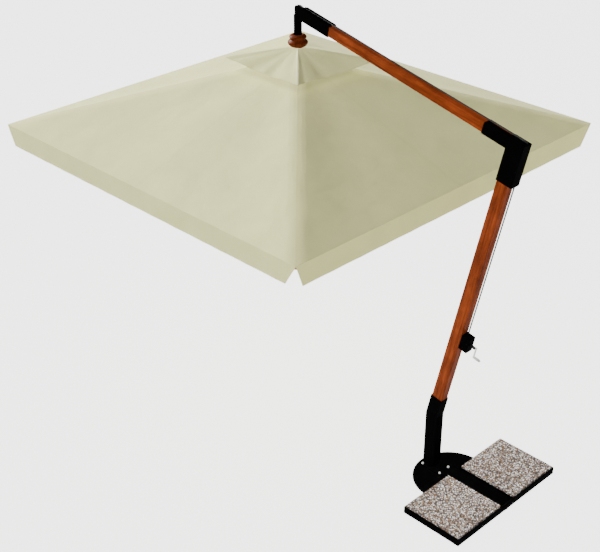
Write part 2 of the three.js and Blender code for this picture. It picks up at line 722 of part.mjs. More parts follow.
// Plan points along one gore's outer edge, on a square of half side 1, from quarter point to quarter point.
function goreEdge(corner, steps) {
  const seam = 0.5 - (corner ? -1 : 1) * (0.4 / canopyHalf);
  const points = [];
  for (let j = 0; j <= steps; j += 1) {
    const t = (j / steps) * 2 - 1;
    if (!corner) points.push(new THREE.Vector2(1, t * seam));
    else if (t <= 0) points.push(new THREE.Vector2(1, 1 + t * (1 - seam)));
    else points.push(new THREE.Vector2(1 - t * (1 - seam), 1));
  }
  return points;
}

// Height of the cloth's upper face over a plan point measured from the canopy's axis.
function clothHeight(x, y) {
  return apexHeight - slopeOfSides * Math.max(Math.abs(x), Math.abs(y));
}

// A hanging flap below one straight stretch of hem, along +Y at x = half side, its lower ends drawn in.
function flap(y0, y1, drawnIn0, drawnIn1) {
  const foot = edgeHeight - valanceDrop;
  const head = edgeHeight - 0.5;
  const outline = [[y0 + drawnIn0, foot], [y1 - drawnIn1, foot], [y1, head], [y0, head]];
  const shape = new THREE.Shape(outline.map(([y, z]) => new THREE.Vector2(y, z)));
  return new THREE.ExtrudeGeometry(shape, { depth: fabricThickness, bevelEnabled: false })
    .rotateX(Math.PI / 2).rotateZ(Math.PI / 2).translate(canopyHalf - fabricThickness, 0, 0);
}

function buildGore(k) {
  const corner = k % 2 === 1;
  const edge = goreEdge(corner, 8);
  const rows = [];
  const rowCount = 6;
  for (let i = 0; i <= rowCount; i += 1) {
    const half = ventOpeningHalf + ((canopyHalf - ventOpeningHalf) * i) / rowCount;
    const plan = edge.map((p) => p.clone().multiplyScalar(half));
    rows.push(plan.map(({ x, y }) => new THREE.Vector3(x, y, clothHeight(x, y))));
  }
  const seam = canopyHalf / 2;
  const end = canopyHalf - fabricThickness - 1;
  const flaps = corner
    ? [flap(seam + 0.4, end, 0, valanceSlit), flap(-end, -seam - 0.4, valanceSlit, 0).rotateZ(Math.PI / 2)]
    : [flap(0.4 - seam, seam - 0.4, 0, 0)];
  const cloth = carve([sheet(rows, fabricThickness), ...flaps]);
  addPiece(`canopy_gore_${k + 1}`, cloth, 'canvas', canopyFrame)
    .rotation.z = Math.floor(k / 2) * (Math.PI / 2);
}

// The raised cap over the vent is cut in four quarters, one over each corner rib.
function buildVentCap(quarter) {
  const columns = 10;
  const collar = poleRadius + 5.5;
  const rows = [];
  for (let i = 0; i <= 5; i += 1) {
    const share = i / 5;
    const row = [];
    for (let j = 0; j <= columns; j += 1) {
      const angle = (j / columns) * (Math.PI / 2);
      const square = capHalf / Math.max(Math.cos(angle), Math.sin(angle));
      const radius = collar + (square - collar) * share;
      const x = Math.max(radius * Math.cos(angle), gap);
      const y = Math.max(radius * Math.sin(angle), gap);
      row.push(new THREE.Vector3(x, y, capTop + (capHemHeight - capTop) * share));
    }
    rows.push(row);
  }
  addPiece(`vent_cap_${quarter + 1}`, sheet(rows, fabricThickness), 'canvas', canopyFrame)
    .rotation.z = quarter * (Math.PI / 2);
}

buildBase();
buildFoot();
buildTimbers();
buildElbow();
buildPulleys();
buildHead();
buildRope();
buildWinch();
buildPole();
buildHub();
buildRunner();
buildFinial();
for (let k = 0; k < ribCount; k += 1) {
  buildRibAndStrut(k);
  buildGore(k);
}
for (let quarter = 0; quarter < 4; quarter += 1) buildVentCap(quarter);

export default parasol;
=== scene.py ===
# Cantilever parasol: cloth, timber, powder-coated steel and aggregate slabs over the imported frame.
import math

import bpy
import numpy as np
from mathutils import Matrix, Vector


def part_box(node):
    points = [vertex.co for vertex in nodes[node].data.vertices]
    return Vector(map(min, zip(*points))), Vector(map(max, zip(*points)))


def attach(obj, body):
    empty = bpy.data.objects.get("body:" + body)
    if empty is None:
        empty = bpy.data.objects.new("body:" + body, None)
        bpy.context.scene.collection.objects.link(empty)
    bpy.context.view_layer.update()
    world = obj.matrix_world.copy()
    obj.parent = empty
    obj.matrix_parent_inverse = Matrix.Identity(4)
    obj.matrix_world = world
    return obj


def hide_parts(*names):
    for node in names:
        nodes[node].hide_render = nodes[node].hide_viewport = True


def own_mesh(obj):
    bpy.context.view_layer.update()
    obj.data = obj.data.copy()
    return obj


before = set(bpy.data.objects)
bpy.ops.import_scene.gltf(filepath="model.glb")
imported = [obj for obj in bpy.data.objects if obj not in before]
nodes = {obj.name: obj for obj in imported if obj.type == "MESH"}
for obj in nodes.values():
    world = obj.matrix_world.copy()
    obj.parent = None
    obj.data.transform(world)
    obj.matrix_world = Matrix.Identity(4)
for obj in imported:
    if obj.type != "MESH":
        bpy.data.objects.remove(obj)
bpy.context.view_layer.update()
print("frame loaded:", len(nodes), "nodes")

mastLean = 12.2
armRise = 12.73

# a high three-quarter view from the front right
cameraSettings = {
    "place": (4.3735, -5.6959, 5.7236),
    "yaw": 136.113,
    "pitch": 29.7264,
    "roll": -0.5462,
    "lens": 71.97,
    "shift": (0.02265, -0.00395),
}


def setCamera(settings):
    data = bpy.data.cameras.new("viewCamera")
    camera = bpy.data.objects.new("viewCamera", data)
    bpy.context.scene.collection.objects.link(camera)
    yaw, pitch, roll = (math.radians(settings[k]) for k in ("yaw", "pitch", "roll"))
    forward = Vector((math.cos(yaw) * math.cos(pitch), math.sin(yaw) * math.cos(pitch), -math.sin(pitch)))
    side = Vector((math.sin(yaw), -math.cos(yaw), 0))
    above = side.cross(forward)
    right = side * math.cos(roll) + above * math.sin(roll)
    up = above * math.cos(roll) - side * math.sin(roll)
    turn = Matrix((right, up, -forward)).transposed().to_4x4()
    camera.matrix_world = Matrix.Translation(settings["place"]) @ turn
    data.sensor_fit = "HORIZONTAL"
    data.sensor_width = 36
    data.lens = settings["lens"]
    data.shift_x, data.shift_y = settings["shift"]
    data.clip_end = 100
    bpy.context.scene.camera = camera


setCamera(cameraSettings)
print("camera set")

# places taken from the frame, in metres
poleLow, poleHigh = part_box("centre_pole")
axisX = (poleLow[0] + poleHigh[0]) / 2
goreLow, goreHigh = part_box("canopy_gore_1")
halfSide = goreHigh[0] - axisX
ventHalf = goreLow[0] - axisX


def startGroup(name, inputs, outputs):
    group = bpy.data.node_groups.new(name, "ShaderNodeTree")
    for label, kind, value in inputs:
        socket = group.interface.new_socket(name=label, in_out="INPUT", socket_type=kind)
        if value is not None:
            socket.default_value = value
    for label, kind in outputs:
        group.interface.new_socket(name=label, in_out="OUTPUT", socket_type=kind)
    return group, group.nodes.new("NodeGroupInput"), group.nodes.new("NodeGroupOutput")


def mathNode(tree, operation, first, second=None, clamp=False):
    node = tree.nodes.new("ShaderNodeMath")
    node.operation = operation
    node.use_clamp = clamp
    for place, value in enumerate((first, second)):
        if value is None:
            continue
        if isinstance(value, (int, float)):
            node.inputs[place].default_value = value
        else:
            tree.links.new(value, node.inputs[place])
    return node.outputs[0]


def mixColour(tree, amount, first, second, mode="MIX"):
    node = tree.nodes.new("ShaderNodeMix")
    node.data_type = "RGBA"
    node.blend_type = mode
    for socket, value in ((node.inputs[0], amount), (node.inputs[6], first), (node.inputs[7], second)):
        if isinstance(value, (int, float)):
            socket.default_value = value
        elif isinstance(value, tuple):
            socket.default_value = (*value, 1)
        else:
            tree.links.new(value, socket)
    return node.outputs[2]


def rampNode(tree, value, stops):
    node = tree.nodes.new("ShaderNodeMapRange")
    tree.links.new(value, node.inputs["Value"])
    low, high, outLow, outHigh = stops
    node.inputs["From Min"].default_value = low
    node.inputs["From Max"].default_value = high
    node.inputs["To Min"].default_value = outLow
    node.inputs["To Max"].default_value = outHigh
    return node.outputs["Result"]


def noiseNode(tree, vector, scale, detail=4, roughness=0.55):
    node = tree.nodes.new("ShaderNodeTexNoise")
    if isinstance(scale, (int, float)):
        node.inputs["Scale"].default_value = scale
    else:
        tree.links.new(scale, node.inputs["Scale"])
    node.inputs["Detail"].default_value = detail
    node.inputs["Roughness"].default_value = roughness
    tree.links.new(vector, node.inputs["Vector"])
    return node


grainSettings = {"stretch": 0.055, "fine": 260.0, "broad": 46.0, "patch": 7.0, "pores": 420}


def makeGrainGroup(settings):
    group, inn, out = startGroup("timberGrain", [
        ("Vector", "NodeSocketVector", None), ("Light", "NodeSocketColor", (0.5, 0.1, 0.03, 1)),
        ("Dark", "NodeSocketColor", (0.2, 0.03, 0.01, 1)), ("Fineness", "NodeSocketFloat", 1.0),
    ], [("Color", "NodeSocketColor"), ("Rough", "NodeSocketFloat"), ("Height", "NodeSocketFloat")])
    stretch = group.nodes.new("ShaderNodeVectorMath")
    stretch.operation = "MULTIPLY"
    stretch.inputs[1].default_value = (1, 1, settings["stretch"])
    group.links.new(inn.outputs["Vector"], stretch.inputs[0])
    fineScale = mathNode(group, "MULTIPLY", inn.outputs["Fineness"], settings["fine"])
    broadScale = mathNode(group, "MULTIPLY", inn.outputs["Fineness"], settings["broad"])
    fine = noiseNode(group, stretch.outputs[0], fineScale, 5, 0.6)
    broad = noiseNode(group, stretch.outputs[0], broadScale, 3, 0.5)
    broad.inputs["Distortion"].default_value = 0.8
    patch = noiseNode(group, inn.outputs["Vector"], settings["patch"], 2, 0.5)
    pores = group.nodes.new("ShaderNodeTexVoronoi")
    pores.inputs["Scale"].default_value = settings["pores"]
    group.links.new(stretch.outputs[0], pores.inputs["Vector"])
    pore = rampNode(group, pores.outputs["Distance"], (0.06, 0.22, 1, 0))
    streak = mathNode(group, "ADD", mathNode(group, "MULTIPLY", fine.outputs[0], 0.45),
                      mathNode(group, "MULTIPLY", broad.outputs[0], 0.75))
    tone = rampNode(group, streak, (0.42, 0.78, 0, 1))
    colour = mixColour(group, tone, inn.outputs["Dark"], inn.outputs["Light"])
    blotch = rampNode(group, patch.outputs[0], (0.3, 0.7, 0.72, 1.18))
    colour = mixColour(group, 1.0, colour, blotch, "MULTIPLY")
    colour = mixColour(group, mathNode(group, "MULTIPLY", pore, 0.35), colour, (0.05, 0.012, 0.006))
    group.links.new(colour, out.inputs["Color"])
    group.links.new(rampNode(group, streak, (0.4, 0.8, 0.5, 0.36)), out.inputs["Rough"])
    height = mathNode(group, "SUBTRACT", streak, mathNode(group, "MULTIPLY", pore, 0.5))
    group.links.new(height, out.inputs["Height"])
    return group


def makeDustGroup():
    group, inn, out = startGroup("finishVariation", [
        ("Vector", "NodeSocketVector", None), ("Base", "NodeSocketColor", (0.01, 0.01, 0.01, 1)),
        ("Worn", "NodeSocketColor", (0.05, 0.05, 0.05, 1)), ("Amount", "NodeSocketFloat", 0.3),
        ("Speckle", "NodeSocketFloat", 900.0),
    ], [("Color", "NodeSocketColor"), ("Rough", "NodeSocketFloat"), ("Height", "NodeSocketFloat")])
    cloudy = noiseNode(group, inn.outputs["Vector"], 9.0, 4, 0.6)
    speck = noiseNode(group, inn.outputs["Vector"], inn.outputs["Speckle"], 2, 0.5)
    mask = rampNode(group, cloudy.outputs[0], (0.52, 0.75, 0, 1))
    mask = mathNode(group, "MULTIPLY", mask, inn.outputs["Amount"], True)
    colour = mixColour(group, mask, inn.outputs["Base"], inn.outputs["Worn"])
    group.links.new(colour, out.inputs["Color"])
    group.links.new(rampNode(group, cloudy.outputs[0], (0.3, 0.7, 0, 0.16)), out.inputs["Rough"])
    group.links.new(speck.outputs[0], out.inputs["Height"])
    return group


def makeWeaveGroup():
    group, inn, out = startGroup("plainWeave", [
        ("Vector", "NodeSocketVector", None), ("Threads", "NodeSocketFloat", 900.0),
    ], [("Height", "NodeSocketFloat"), ("Mask", "NodeSocketFloat")])
    heights = []
    for direction in ("X", "Y"):
        wave = group.nodes.new("ShaderNodeTexWave")
        wave.bands_direction = direction
        wave.inputs["Distortion"].default_value = 0.25
        wave.inputs["Detail"].default_value = 1
        group.links.new(inn.outputs["Vector"], wave.inputs["Vector"])
        group.links.new(mathNode(group, "MULTIPLY", inn.outputs["Threads"], 0.3), wave.inputs["Scale"])
        heights.append(wave.outputs["Fac"])
    both = mathNode(group, "ADD", heights[0], heights[1])
    group.links.new(both, out.inputs["Height"])
    slub = noiseNode(group, inn.outputs["Vector"], 160.0, 3, 0.6)
    group.links.new(slub.outputs[0], out.inputs["Mask"])
    return group


grainGroup = makeGrainGroup(grainSettings)
dustGroup = makeDustGroup()
weaveGroup = makeWeaveGroup()
print("shader groups ready")


def startMaterial(name):
    material = bpy.data.materials.new(name)
    material.use_nodes = True
    tree = material.node_tree
    shader = tree.nodes["Principled BSDF"]
    return material, tree, shader


def placeGroup(tree, group):
    node = tree.nodes.new("ShaderNodeGroup")
    node.node_tree = group
    return node


def coordinates(tree, kind="Object", turn=(0, 0, 0)):
    source = tree.nodes.new("ShaderNodeTexCoord")
    mapping = tree.nodes.new("ShaderNodeMapping")
    mapping.vector_type = "POINT"
    mapping.inputs["Rotation"].default_value = [math.radians(a) for a in turn]
    tree.links.new(source.outputs[kind], mapping.inputs["Vector"])
    return mapping.outputs[0]


def addBump(tree, shader, height, strength, distance):
    bump = tree.nodes.new("ShaderNodeBump")
    bump.inputs["Strength"].default_value = strength
    bump.inputs["Distance"].default_value = distance
    tree.links.new(height, bump.inputs["Height"])
    tree.links.new(bump.outputs["Normal"], shader.inputs["Normal"])


timberSettings = {"light": (0.255, 0.046, 0.009), "dark": (0.088, 0.014, 0.0038), "coat": 0.02}


def timberMaterial(name, turn, fineness=1.0, depth=1.0):
    material, tree, shader = startMaterial(name)
    grain = placeGroup(tree, grainGroup)
    tree.links.new(coordinates(tree, turn=turn), grain.inputs["Vector"])
    grain.inputs["Light"].default_value = (*[c * depth for c in timberSettings["light"]], 1)
    grain.inputs["Dark"].default_value = (*[c * depth for c in timberSettings["dark"]], 1)
    grain.inputs["Fineness"].default_value = fineness
    tree.links.new(grain.outputs["Color"], shader.inputs["Base Color"])
    tree.links.new(grain.outputs["Rough"], shader.inputs["Roughness"])
    shader.inputs["Coat Weight"].default_value = timberSettings["coat"]
    shader.inputs["Coat Roughness"].default_value = 0.45
    shader.inputs["Specular IOR Level"].default_value = 0.03
    addBump(tree, shader, grain.outputs["Height"], 0.25, 0.0006)
    return material


def coatedMaterial(name, base, worn, amount, roughness, metallic, speckle=900.0, bump=0.12, specular=0.4):
    material, tree, shader = startMaterial(name)
    dust = placeGroup(tree, dustGroup)
    tree.links.new(coordinates(tree), dust.inputs["Vector"])
    dust.inputs["Base"].default_value = (*base, 1)
    dust.inputs["Worn"].default_value = (*worn, 1)
    dust.inputs["Amount"].default_value = amount
    dust.inputs["Speckle"].default_value = speckle
    tree.links.new(dust.outputs["Color"], shader.inputs["Base Color"])
    rough = mathNode(tree, "ADD", dust.outputs["Rough"], roughness - 0.08)
    tree.links.new(rough, shader.inputs["Roughness"])
    shader.inputs["Metallic"].default_value = metallic
    shader.inputs["Specular IOR Level"].default_value = specular
    addBump(tree, shader, dust.outputs["Height"], bump, 0.0004)
    return material


clothSettings = {
    "colour": (0.675, 0.668, 0.285), "deep": (0.605, 0.598, 0.262), "alpha": 0.945, "glow": 0.03,
    "sag": 0.012,
    # masks painted on the cloth: a pale tape along the cap's hips, and painted shade beside the pleats at
    # the cap's hips, in a faint band along each rib and under the cap
    "masks": (("tapeMask", (0.92, 0.90, 0.60), 0.6), ("paintedShadeMask", (0.30, 0.29, 0.15), 0.5)),
}


def clothMaterial(name):
    material, tree, shader = startMaterial(name)
    place = coordinates(tree)
    uv = coordinates(tree, "UV")
    weave = placeGroup(tree, weaveGroup)
    tree.links.new(uv, weave.inputs["Vector"])
    weave.inputs["Threads"].default_value = 1300.0
    cloudy = noiseNode(tree, place, 2.6, 5, 0.62)
    tone = rampNode(tree, cloudy.outputs[0], (0.3, 0.7, 0, 1))
    colour = mixColour(tree, tone, clothSettings["deep"], clothSettings["colour"])
    slub = rampNode(tree, weave.outputs["Mask"], (0.3, 0.7, 0.95, 1.04))
    colour = mixColour(tree, 1.0, colour, slub, "MULTIPLY")
    # stitched seams are painted where the cloth's own map says how far a point is from one
    seam = tree.nodes.new("ShaderNodeAttribute")
    seam.attribute_name = "seamDistance"
    line = rampNode(tree, seam.outputs["Fac"], (0.0015, 0.004, 1, 0))
    colour = mixColour(tree, mathNode(tree, "MULTIPLY", line, 0.10), colour, (0.30, 0.28, 0.18))
    # each mask mixes its tint into the colour: the tape's pale tint, then the painted shade's dark tint
    for label, tint, amount in clothSettings["masks"]:
        mask = tree.nodes.new("ShaderNodeAttribute")
        mask.attribute_name = label
        colour = mixColour(tree, mathNode(tree, "MULTIPLY", mask.outputs["Fac"], amount, True), colour, tint)
    tree.links.new(colour, shader.inputs["Base Color"])
    # the cloth's colour is also given off faintly: a painted glow for light coming through the cloth
    tree.links.new(colour, shader.inputs["Emission Color"])
    shader.inputs["Emission Strength"].default_value = clothSettings["glow"]
    shader.inputs["Roughness"].default_value = 0.88
    shader.inputs["Specular IOR Level"].default_value = 0.2
    shader.inputs["Sheen Weight"].default_value = 0.08
    shader.inputs["Alpha"].default_value = clothSettings["alpha"]
    felled = rampNode(tree, seam.outputs["Fac"], (0.006, 0.009, 1, 0))
    height = mathNode(tree, "ADD", mathNode(tree, "MULTIPLY", weave.outputs["Height"], 0.25),
                      mathNode(tree, "MULTIPLY", cloudy.outputs[0], 0.6))
    height = mathNode(tree, "ADD", height, mathNode(tree, "MULTIPLY", felled, 0.8))
    creases = noiseNode(tree, place, 4.5, 4, 0.5)
    height = mathNode(tree, "ADD", height, mathNode(tree, "MULTIPLY", creases.outputs[0], 22.0))
    addBump(tree, shader, height, 0.35, 0.0012)
    return material


crankSettings = {"black": (0.0015, 0.0015, 0.0016), "plate": (0.72, 0.73, 0.72), "stubEnd": 0.0562,
                 "edge": 0.0004, "metallic": 0.35}


def crankMaterial(name):
    # the shaft and collar are black as far as the cranked arm, which is plated
    material, tree, shader = startMaterial(name)
    split = tree.nodes.new("ShaderNodeSeparateXYZ")
    tree.links.new(coordinates(tree, turn=(0, -mastLean, 0)), split.inputs[0])
    end, edge = crankSettings["stubEnd"], crankSettings["edge"]
    plated = rampNode(tree, split.outputs[0], (end - edge, end + edge, 0, 1))
    colour = mixColour(tree, plated, crankSettings["black"], crankSettings["plate"])
    tree.links.new(colour, shader.inputs["Base Color"])
    metallic = mathNode(tree, "MULTIPLY", plated, crankSettings["metallic"])
    tree.links.new(metallic, shader.inputs["Metallic"])
    shader.inputs["Roughness"].default_value = 0.4
    shader.inputs["Specular IOR Level"].default_value = 0.1
    return material


aggregateSettings = {"size": 108.0, "colours": [
    (0.0, (0.05, 0.025, 0.014)), (0.17, (0.40, 0.26, 0.17)), (0.32, (0.90, 0.84, 0.80)),
    (0.47, (0.24, 0.105, 0.030)), (0.60, (0.30, 0.27, 0.28)), (0.72, (0.95, 0.92, 0.91)),
    (0.84, (0.022, 0.013, 0.011)),
]}


def aggregateMaterial(name):
    material, tree, shader = startMaterial(name)
    place = coordinates(tree)
    cells = tree.nodes.new("ShaderNodeTexVoronoi")
    cells.inputs["Scale"].default_value = aggregateSettings["size"]
    cells.inputs["Randomness"].default_value = 0.95
    tree.links.new(place, cells.inputs["Vector"])
    split = tree.nodes.new("ShaderNodeSeparateColor")
    tree.links.new(cells.outputs["Color"], split.inputs[0])
    ramp = tree.nodes.new("ShaderNodeValToRGB")
    ramp.color_ramp.interpolation = "CONSTANT"
    ramp.color_ramp.elements.remove(ramp.color_ramp.elements[1])
    ramp.color_ramp.elements[0].color = (*aggregateSettings["colours"][0][1], 1)
    for position, colour in aggregateSettings["colours"][1:]:
        ramp.color_ramp.elements.new(position).color = (*colour, 1)
    tree.links.new(split.outputs[0], ramp.inputs[0])
    grit = noiseNode(tree, place, 700.0, 3, 0.6)
    shade = rampNode(tree, split.outputs[1], (0, 1, 0.72, 1.1))
    colour = mixColour(tree, 1.0, ramp.outputs[0], shade, "MULTIPLY")
    # the gaps between the pebbles are darkened, for the binder there and as painted shade in the recesses
    edge = rampNode(tree, cells.outputs["Distance"], (0.40, 0.60, 0, 1))
    colour = mixColour(tree, mathNode(tree, "MULTIPLY", edge, 0.85), colour, (0.07, 0.055, 0.048))
    tree.links.new(colour, shader.inputs["Base Color"])
    shader.inputs["Roughness"].default_value = 0.82
    rounded = rampNode(tree, cells.outputs["Distance"], (0.0, 0.7, 1, 0))
    height = mathNode(tree, "ADD", rounded, mathNode(tree, "MULTIPLY", grit.outputs[0], 0.12))
    addBump(tree, shader, height, 0.8, 0.004)
    return material


def ropeMaterial(name):
    material, tree, shader = startMaterial(name)
    uv = coordinates(tree, "UV")
    plait = tree.nodes.new("ShaderNodeTexWave")
    plait.bands_direction = "DIAGONAL"
    plait.inputs["Scale"].default_value = 60
    plait.inputs["Distortion"].default_value = 0.6
    tree.links.new(uv, plait.inputs["Vector"])
    colour = mixColour(tree, plait.outputs["Fac"], (0.006, 0.006, 0.006), (0.022, 0.022, 0.021))
    tree.links.new(colour, shader.inputs["Base Color"])
    shader.inputs["Roughness"].default_value = 0.75
    addBump(tree, shader, plait.outputs["Fac"], 0.6, 0.001)
    return material


blackCoat = coatedMaterial("blackPowderCoat", (0.0010, 0.0010, 0.0011), (0.004, 0.004, 0.004), 0.3, 0.55,
                           0.0, specular=0.003)
zincPlate = coatedMaterial("zincPlate", (0.72, 0.73, 0.72), (0.48, 0.47, 0.45), 0.5, 0.36, 0.35, 300.0)
blackMoulding = coatedMaterial("blackMoulding", (0.010, 0.010, 0.011), (0.03, 0.03, 0.03), 0.3, 0.5, 0.0,
                               1400.0)
greyMoulding = coatedMaterial("greyMoulding", (0.50, 0.51, 0.50), (0.36, 0.36, 0.35), 0.4, 0.42, 0.0,
                              1400.0)
mastTimber = timberMaterial("mastTimber", (0, -mastLean, 0), depth=0.95)
armTimber = timberMaterial("armTimber", (0, 90 - armRise, 0), depth=1.1)
turnedTimber = timberMaterial("turnedTimber", (0, 0, 0), 1.5, depth=0.55)
ribTimbers = [timberMaterial(f"ribTimber{a}", (90, a - 90, 0), 1.6) for a in (0, 45, 90, 135)]
canopyCloth = clothMaterial("canopyCloth")
aggregate = aggregateMaterial("exposedAggregate")
cordWeave = ropeMaterial("braidedRope")
crankFinish = crankMaterial("crankFinish")


def finishNode(node, material):
    piece = nodes[node]
    piece.data.materials.clear()
    piece.data.materials.append(material)


for name in nodes:
    if name.startswith(("canopy_gore", "vent_cap", "rope", "slab", "finial")):
        continue
    if name.startswith("foot_bolt"):
        finishNode(name, zincPlate)
    elif name == "crank":
        finishNode(name, crankFinish)
    elif name == "mast":
        finishNode(name, mastTimber)
    elif name == "arm":
        finishNode(name, armTimber)
    elif name == "pole_cap":
        finishNode(name, turnedTimber)
    elif name.startswith(("rib_", "strut_")):
        finishNode(name, ribTimbers[(int(name.split("_")[1]) - 1) % 4])
    elif name == "crank_grip":
        finishNode(name, greyMoulding)
    elif name in ("swivel_bush", "elbow_pulley", "head_pulley", "winch_drum", "crown_hub", "runner"):
        finishNode(name, blackMoulding)
    else:
        finishNode(name, blackCoat)
print("frame painted")


def deselectAll():
    if bpy.context.object and bpy.context.object.mode != "OBJECT":
        bpy.ops.object.mode_set(mode="OBJECT")
    bpy.ops.object.select_all(action="DESELECT")


def settle(piece, material):
    # puts the piece's place into its mesh and gives it its finish
    deselectAll()
    piece.select_set(True)
    bpy.context.view_layer.objects.active = piece
    bpy.ops.object.transform_apply(location=True, rotation=True, scale=True)
    piece.data.materials.clear()
    piece.data.materials.append(material)


def applyModifiers(piece):
    deselectAll()
    piece.select_set(True)
    bpy.context.view_layer.objects.active = piece
    for modifier in list(piece.modifiers):
        bpy.ops.object.modifier_apply(modifier=modifier.name)


def turnOnLathe(name, profile, centre, material, sides=40, levels=2):
    # each ring is extruded from the one before, and the last comes back onto the first and merges with it
    deselectAll()
    firstRadius, firstHeight = profile[0]
    bpy.ops.mesh.primitive_circle_add(vertices=sides, radius=firstRadius, location=(0, 0, firstHeight))
    piece = bpy.context.object
    piece.name = name
    bpy.ops.object.mode_set(mode="EDIT")
    bpy.ops.mesh.select_all(action="SELECT")
    for (radius, z), (nextRadius, nextZ) in zip(profile, profile[1:] + profile[:1]):
        bpy.ops.mesh.extrude_region_move(TRANSFORM_OT_translate={"value": (0, 0, nextZ - z)})
        grow = nextRadius / radius
        bpy.ops.transform.resize(value=(grow, grow, 1), center_override=(0, 0, nextZ))
    bpy.ops.mesh.select_all(action="SELECT")
    bpy.ops.mesh.remove_doubles(threshold=0.0001)
    bpy.ops.mesh.normals_make_consistent(inside=False)
    bpy.ops.object.mode_set(mode="OBJECT")
    smooth = piece.modifiers.new("round", "SUBSURF")
    smooth.levels = levels
    smooth.render_levels = levels
    applyModifiers(piece)
    piece.location = centre
    settle(piece, material)
    piece.data.shade_smooth()
    return piece


# radius and height of each ring, from the foot of the bore
finialSettings = {"profile": [
    (0.0296, 0.0005), (0.0455, 0.0005), (0.0565, 0.0075), (0.0685, 0.0195),
    (0.0725, 0.0280), (0.0725, 0.0360), (0.0676, 0.0440), (0.0586, 0.0508),
    (0.0540, 0.0560), (0.0570, 0.0620), (0.0616, 0.0672), (0.0630, 0.0722),
    (0.0606, 0.0788), (0.0506, 0.0866), (0.0380, 0.0915), (0.0296, 0.0915)]}


def makeFinial(settings):
    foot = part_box("finial")[0][2]
    piece = turnOnLathe("turnedFinial", settings["profile"], (axisX, 0, foot), turnedTimber)
    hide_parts("finial")
    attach(piece, "mast")


makeFinial(finialSettings)
print("finial turned")

slabSettings = {"chamfer": 0.004, "bevelSegments": 2, "cuts": 40, "dip": 0.0007}


def makeSlab(node, name, settings):
    low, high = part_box(node)
    deselectAll()
    middle = [(a + b) / 2 for a, b in zip(low, high)]
    bpy.ops.mesh.primitive_cube_add(size=1, location=middle)
    piece = bpy.context.object
    piece.name = name
    piece.scale = [b - a for a, b in zip(low, high)]
    bpy.ops.object.transform_apply(location=True, rotation=True, scale=True)
    bpy.ops.object.mode_set(mode="EDIT")
    bpy.ops.mesh.select_all(action="SELECT")
    bpy.ops.mesh.subdivide(number_cuts=settings["cuts"])
    bpy.ops.object.mode_set(mode="OBJECT")
    bevel = piece.modifiers.new("arris", "BEVEL")
    bevel.width = settings["chamfer"]
    bevel.segments = settings["bevelSegments"]
    bevel.limit_method = "ANGLE"
    applyModifiers(piece)
    # a shallow unevenness, inwards only
    points = np.empty(len(piece.data.vertices) * 3)
    piece.data.vertices.foreach_get("co", points)
    points = points.reshape(-1, 3)
    top = points[:, 2] > high[2] - 0.0001
    wave = np.sin(points[:, 0] * 310 + 2 * np.sin(points[:, 1] * 170)) * np.sin(points[:, 1] * 290 + 1.3)
    points[top, 2] -= settings["dip"] * (1 + wave[top])
    piece.data.vertices.foreach_set("co", points.ravel())
    settle(piece, aggregate)
    piece.data.shade_smooth()
    bpy.ops.object.shade_smooth_by_angle(angle=math.radians(35))
    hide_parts(node)
    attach(piece, "base")


makeSlab("slab_left", "pavingSlabLeft", slabSettings)
makeSlab("slab_right", "pavingSlabRight", slabSettings)
print("slabs made")


# the rope starts at the winch, startAlong up the mast from the foot's bend and offset out from the mast's
# middle, and ends endHeight above the runner's underside
ropeSettings = {"radius": 0.0048, "offset": 0.058, "sides": 10, "turns": 10, "spacing": 0.02,
                "elbowPitch": 0.024, "headPitch": 0.016, "side": 0.025,
                "bendHeight": 0.489, "startAlong": 0.751, "endHeight": 0.0445, "mapGirth": 0.0214}


def ropeRoute(settings):
    lean, rise = math.radians(mastLean), math.radians(armRise)
    outward = Vector((math.cos(lean), 0, -math.sin(lean)))
    upward = Vector((math.sin(rise), 0, math.cos(rise)))
    low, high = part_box("elbow_pulley")
    elbow = (Vector(low) + Vector(high)) / 2
    low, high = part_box("head_pulley")
    head = (Vector(low) + Vector(high)) / 2
    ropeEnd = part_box("runner")[0][2] + settings["endHeight"]
    along = Vector((math.sin(lean), 0, math.cos(lean)))
    bend = Vector((0, settings["side"], settings["bendHeight"]))
    start = bend + along * settings["startAlong"] + outward * settings["offset"]
    points = [start]
    first, second = math.atan2(outward.z, outward.x), math.atan2(upward.z, upward.x)
    for centre, pitch, begin, end in ((elbow, settings["elbowPitch"], first, second),
                                      (head, settings["headPitch"], second, math.pi)):
        for step in range(settings["turns"] + 1):
            angle = begin + (end - begin) * step / settings["turns"]
            points.append(centre + pitch * Vector((math.cos(angle), 0, math.sin(angle))))
    points.append(Vector((axisX, 0, ropeEnd)))
    return points


def spreadPoints(points, step):
    spread = [points[0]]
    for a, b in zip(points, points[1:]):
        count = max(1, round((b - a).length / step))
        spread += [a.lerp(b, (i + 1) / count) for i in range(count)]
    return spread


